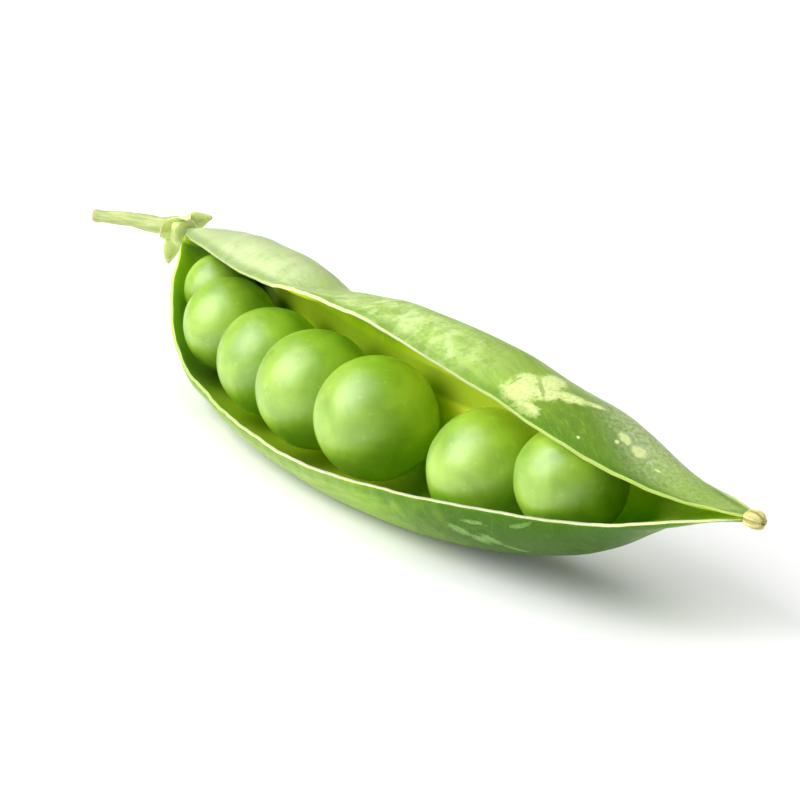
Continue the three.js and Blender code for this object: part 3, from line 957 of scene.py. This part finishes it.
def stalk(material):
    """Ribbed stalk, with small swellings and a shrunken, turned-out cut end."""
    path = smooth_path(STALK_PATH, STALK_STEPS)
    t = np.linspace(0, 1, STALK_STEPS + 1)
    angle = clockwise(STALK_SIDES)
    swollen = sum((size * bell(t, place, width) for size, place, width in STALK_SWELLINGS), 1)
    swollen = swollen + STALK_WAVE * np.sin(17 * t + 0.6) * bell(t, 0.5, 0.4)
    radius = np.interp(t, (0, 1), STALK_RADII) * swollen
    reach = radius[:, None] * (1 + rippled(STALK_RIBS, angle[None, :], t[:, None]))
    outlines = np.stack([reach * np.cos(angle), reach * np.sin(angle)], axis=-1)
    across = np.cross([0, 0, 1], np.gradient(path, axis=0))
    way = (path[-1] - path[-2]) / np.linalg.norm(path[-1] - path[-2])
    rings = sunk_end(sweep(path, across, outlines), path[-1], way, STALK_END)
    rows = len(rings)
    faces = tube_faces(rows, STALK_SIDES)
    thing = dress_points("stalk_skin", rings, faces, "stalk", material)
    cut = np.zeros((rows, STALK_SIDES))
    cut[STALK_STEPS - 1 :] = 1.0
    cut[STALK_STEPS - 3 : STALK_STEPS - 1] = 0.5
    along = np.linspace(0, STALK_LENGTH, rows)[:, None]
    places = np.broadcast_arrays(along, np.cos(angle), np.sin(angle))
    store(thing, "cut", "FLOAT", cut)
    store(thing, "place", "FLOAT_VECTOR", np.stack(places, axis=-1))


def stalk_material():
    look = Look("stalk_skin")
    place = look.attribute("place", "Vector")
    cut = look.attribute("cut", "Fac")
    streaks = look.noise(look.scaled(place, (0.3, 2.4, 2.4)), 1.6, 4.0, 0.6)
    blotch = look.noise(place, 0.9, 3.0)
    color = look.mix(look.ramp(streaks, 0.35, 0.65), STALK_DEEP, STALK_PALE)
    color = look.mix(look.times(look.ramp(blotch, 0.5, 0.75), 0.5), color, STALK_BLUSH)
    color = look.mix(look.times(cut, 0.85), color, CUT_BROWN)
    return look.finish(
        {
            "Base Color": color,
            "Roughness": look.add(0.48, look.times(streaks, 0.15)),
            **flesh(0.4, STALK_FLESH, STALK_DEPTH),
            "Normal": look.bump(streaks, STALK_RELIEF),
        }
    )


def receptacle():
    """Rings of the receptacle, faintly lobed, round +Y."""
    profile = np.array(RECEPTACLE)
    fine = np.linspace(0, len(profile) - 1, RECEPTACLE_RINGS)
    radius, level = (np.interp(fine, np.arange(len(profile)), profile[:, k]) for k in (0, 1))
    radius, level = radius[:, None], level[:, None]
    turn = -clockwise(RECEPTACLE_SIDES)
    lobes = RECEPTACLE_LOBES * np.cos(5 * turn + 0.9) * bell(level, 0.7, 0.8)
    reach = radius * (1 + lobes)
    points = np.broadcast_arrays(reach * np.cos(turn), level, reach * np.sin(turn))
    return np.stack(points, axis=-1)


def sepal(number, degrees, forward):
    """Rings of a sepal, cupped, thin and a little wavy, and each point's closeness to its
    margin or tip."""
    t = np.linspace(0, 1, SEPAL_STEPS + 1)[:, None]
    angle = clockwise(SEPAL_SIDES)
    turn = math.radians(degrees)
    out = np.array([math.cos(turn), 0, math.sin(turn)])
    across = np.array([[-math.sin(turn), 0, math.cos(turn)]])
    middle, tip = np.array(SEPAL_OFF) * (1 - forward) + np.array(SEPAL_FORWARD) * forward
    a, b, c = (
        out * reach + np.array([0, level, 0]) for reach, level in (SEPAL_ROOT, middle, tip)
    )
    s = 1 - t
    rib = s * s * a + 2 * s * t * b + t**2 * c
    wave = SEPAL_WAVE * np.sin(9 * t + number)
    half = SEPAL_WIDTH / 2 * np.cos(t * 1.42) ** 0.9 * (1 + wave)
    thick = SEPAL_THICK / 2 * (1 - 0.55 * t)
    cup = SEPAL_CUP * np.cos(angle) ** 2 * half * (1 - 0.4 * t)
    rib_bulge = 1 + 0.5 * bell(np.cos(angle), 0, 0.25)
    outline = np.stack([half * np.cos(angle), thick * np.sin(angle) * rib_bulge - cup], axis=-1)
    edge = np.abs(np.cos(angle)) ** 3 * (0.4 + 0.6 * t)
    return sweep(rib, np.repeat(across, len(t), 0), outline), np.maximum(edge, t**3)


def calyx(material):
    """Receptacle with its five pointed sepals."""
    rings = receptacle()
    pieces = [(rings, np.zeros(rings.shape[:2]))]
    pieces += [sepal(number, *placing) for number, placing in enumerate(SEPALS)]
    faces, start = [], 0
    for rings, _ in pieces:
        rows, size = rings.shape[:2]
        faces += tube_faces(rows, size, start)
        start += rows * size
    points = np.concatenate([rings.reshape(-1, 3) for rings, _ in pieces])
    way = Vector(STALK_DIRECTION).normalized()
    turned = Vector((0, 1, 0)).rotation_difference(way).to_matrix()
    placed = points @ np.array(turned).T + np.array(CALYX_BASE)
    thing = dress_points("calyx_skin", placed, faces, "calyx", material)
    store(thing, "margin", "FLOAT", np.concatenate([margin.ravel() for _, margin in pieces]))
    store(thing, "place", "FLOAT_VECTOR", points)


def calyx_material():
    look = Look("calyx_skin")
    place = look.attribute("place", "Vector")
    margin = look.attribute("margin", "Fac")
    cloud = look.noise(place, 1.1, 4.0, 0.6)
    fine = look.noise(place, 6.0, 3.0, 0.6)
    color = look.mix(look.ramp(cloud, 0.35, 0.65), CALYX_DEEP, CALYX_PALE)
    dry = look.ramp(look.add(margin, look.times(fine, 0.35)), 0.75, 1.1)
    color = look.mix(dry, color, CALYX_DRY)
    return look.finish(
        {
            "Base Color": color,
            "Roughness": look.add(0.5, look.times(fine, 0.15)),
            **flesh(0.4, STALK_FLESH, CALYX_DEPTH),
            "Normal": look.bump(look.add(cloud, look.times(fine, 0.4)), CALYX_RELIEF),
        }
    )


def style_tip(material):
    """Dried style: a shrunken knob with deep folds that run into its end."""
    t = np.linspace(0, 1, STYLE_STEPS + 1)[:, None]
    angle = clockwise(STYLE_SIDES)
    radius = STYLE_RADIUS * (STYLE_WAIST + (1 - STYLE_WAIST) * np.sin(np.pi * t) ** 0.55)
    folds = rippled(STYLE_FOLDS, angle, 1.1 * t + 0.3 * np.sin(4 * t))
    reach = radius * (1 + folds)
    outlines = np.stack([reach * np.cos(angle), reach * np.sin(angle)], axis=-1)
    way = np.array(STYLE_DIRECTION) / np.linalg.norm(STYLE_DIRECTION)
    centres = np.array(STYLE_BASE) + way * (STYLE_LENGTH * t)
    across = np.repeat(np.array([[0, 1.0, 0]]), len(t), 0)
    rings = sunk_end(sweep(centres, across, outlines), centres[-1], way, STYLE_END)
    faces = tube_faces(len(rings), STYLE_SIDES)
    thing = dress_points("style_skin", rings, faces, "style_tip", material)
    end_folds = np.repeat(folds[-1:], len(STYLE_END), 0)
    store(thing, "fold", "FLOAT", np.concatenate([folds, end_folds]))
    store(thing, "place", "FLOAT_VECTOR", rings)


def style_material():
    look = Look("dried_style")
    place = look.attribute("place", "Vector")
    fold = look.attribute("fold", "Fac")
    cloud = look.noise(place, 1.6, 4.0, 0.6)
    fine = look.noise(place, 7.0, 3.0, 0.6)
    color = look.mix(look.ramp(cloud, 0.38, 0.62), STYLE_TAN, STYLE_PALE)
    # Painted shade in the folds
    color = look.mix(look.ramp(fold, 0.0, -0.12), color, STYLE_BROWN_AND_SHADE)
    color = look.mix(look.times(look.ramp(fine, 0.6, 0.72), 0.4), color, STYLE_BROWN_AND_SHADE)
    return look.finish(
        {
            "Base Color": color,
            "Roughness": look.add(0.6, look.times(fine, 0.2)),
            **flesh(0.3, DRY_FLESH, STYLE_DEPTH),
            "Normal": look.bump(look.add(cloud, fine), STYLE_RELIEF),
        }
    )


def camera():
    """Camera at the photograph's viewing angle."""
    turn, rise = math.radians(CAMERA_TURN), math.radians(CAMERA_RISE)
    level = math.cos(rise)
    ahead = Vector((-math.sin(turn) * level, math.cos(turn) * level, -math.sin(rise)))
    right = Vector((math.cos(turn), math.sin(turn), 0))
    up = right.cross(ahead)
    data = bpy.data.cameras.new("camera")
    data.lens = CAMERA_LENS
    data.sensor_width = CAMERA_SENSOR
    data.clip_start = CAMERA_NEAR
    data.clip_end = CAMERA_FAR
    thing = bpy.data.objects.new("camera", data)
    bpy.context.scene.collection.objects.link(thing)
    turned = Matrix((right, up, -ahead)).transposed().to_4x4()
    thing.matrix_world = Matrix.Translation(Vector(CAMERA_PLACE)) @ turned
    bpy.context.scene.camera = thing


def soft_box(name, place, size, power):
    """White square light that looks at the pod."""
    data = bpy.data.lights.new(name, "AREA")
    data.size = size
    data.energy = power
    thing = bpy.data.objects.new(name, data)
    thing.location = place
    thing.rotation_mode = "QUATERNION"
    thing.rotation_quaternion = (-Vector(place)).to_track_quat("-Z", "Y")
    bpy.context.scene.collection.objects.link(thing)


def floor_material():
    """White paint with a faint speckle, which glows more away from the pod."""
    look = Look("floor")
    place = look.node("ShaderNodeTexCoord").outputs["Object"]
    away = look.length(place)
    return look.finish(
        {
            "Base Color": look.mix(look.noise(place, 40.0), FLOOR_GREY, FLOOR_WHITE),
            "Roughness": 0.7,
            "Specular IOR Level": 0.2,
            "Emission Color": WHITE,
            "Emission Strength": look.ramp(
                away, *FLOOR_GLOW_PLACES, FLOOR_GLOW, FLOOR_FAR_GLOW
            ),
        }
    )


def studio():
    """White floor, even white surroundings, and soft boxes before the pod and overhead."""
    scene = bpy.context.scene
    scene.view_settings.view_transform = "Standard"
    world = bpy.data.worlds.new("studio")
    world.use_nodes = True
    background = world.node_tree.nodes["Background"].inputs
    background["Color"].default_value = (*WHITE, 1)
    background["Strength"].default_value = WORLD_LIGHT
    scene.world = world
    mesh = bpy.data.meshes.new("floor")
    half = FLOOR_SIZE / 2
    corners = [(-half, -half, 0), (half, -half, 0), (half, half, 0), (-half, half, 0)]
    mesh.from_pydata(corners, [], [(0, 1, 2, 3)])
    mesh.materials.append(floor_material())
    floor = bpy.data.objects.new("floor", mesh)
    scene.collection.objects.link(floor)
    for box in SOFT_BOXES:
        soft_box(*box)


camera()
studio()
pod_skin(pod_material())
pea_look = pea_material()
for pea_number, pea in enumerate(PEAS, 1):
    pea_skin(pea_number, pea, pea_look)
stalk(stalk_material())
calyx(calyx_material())
style_tip(style_material())

bpy.context.view_layer.update()
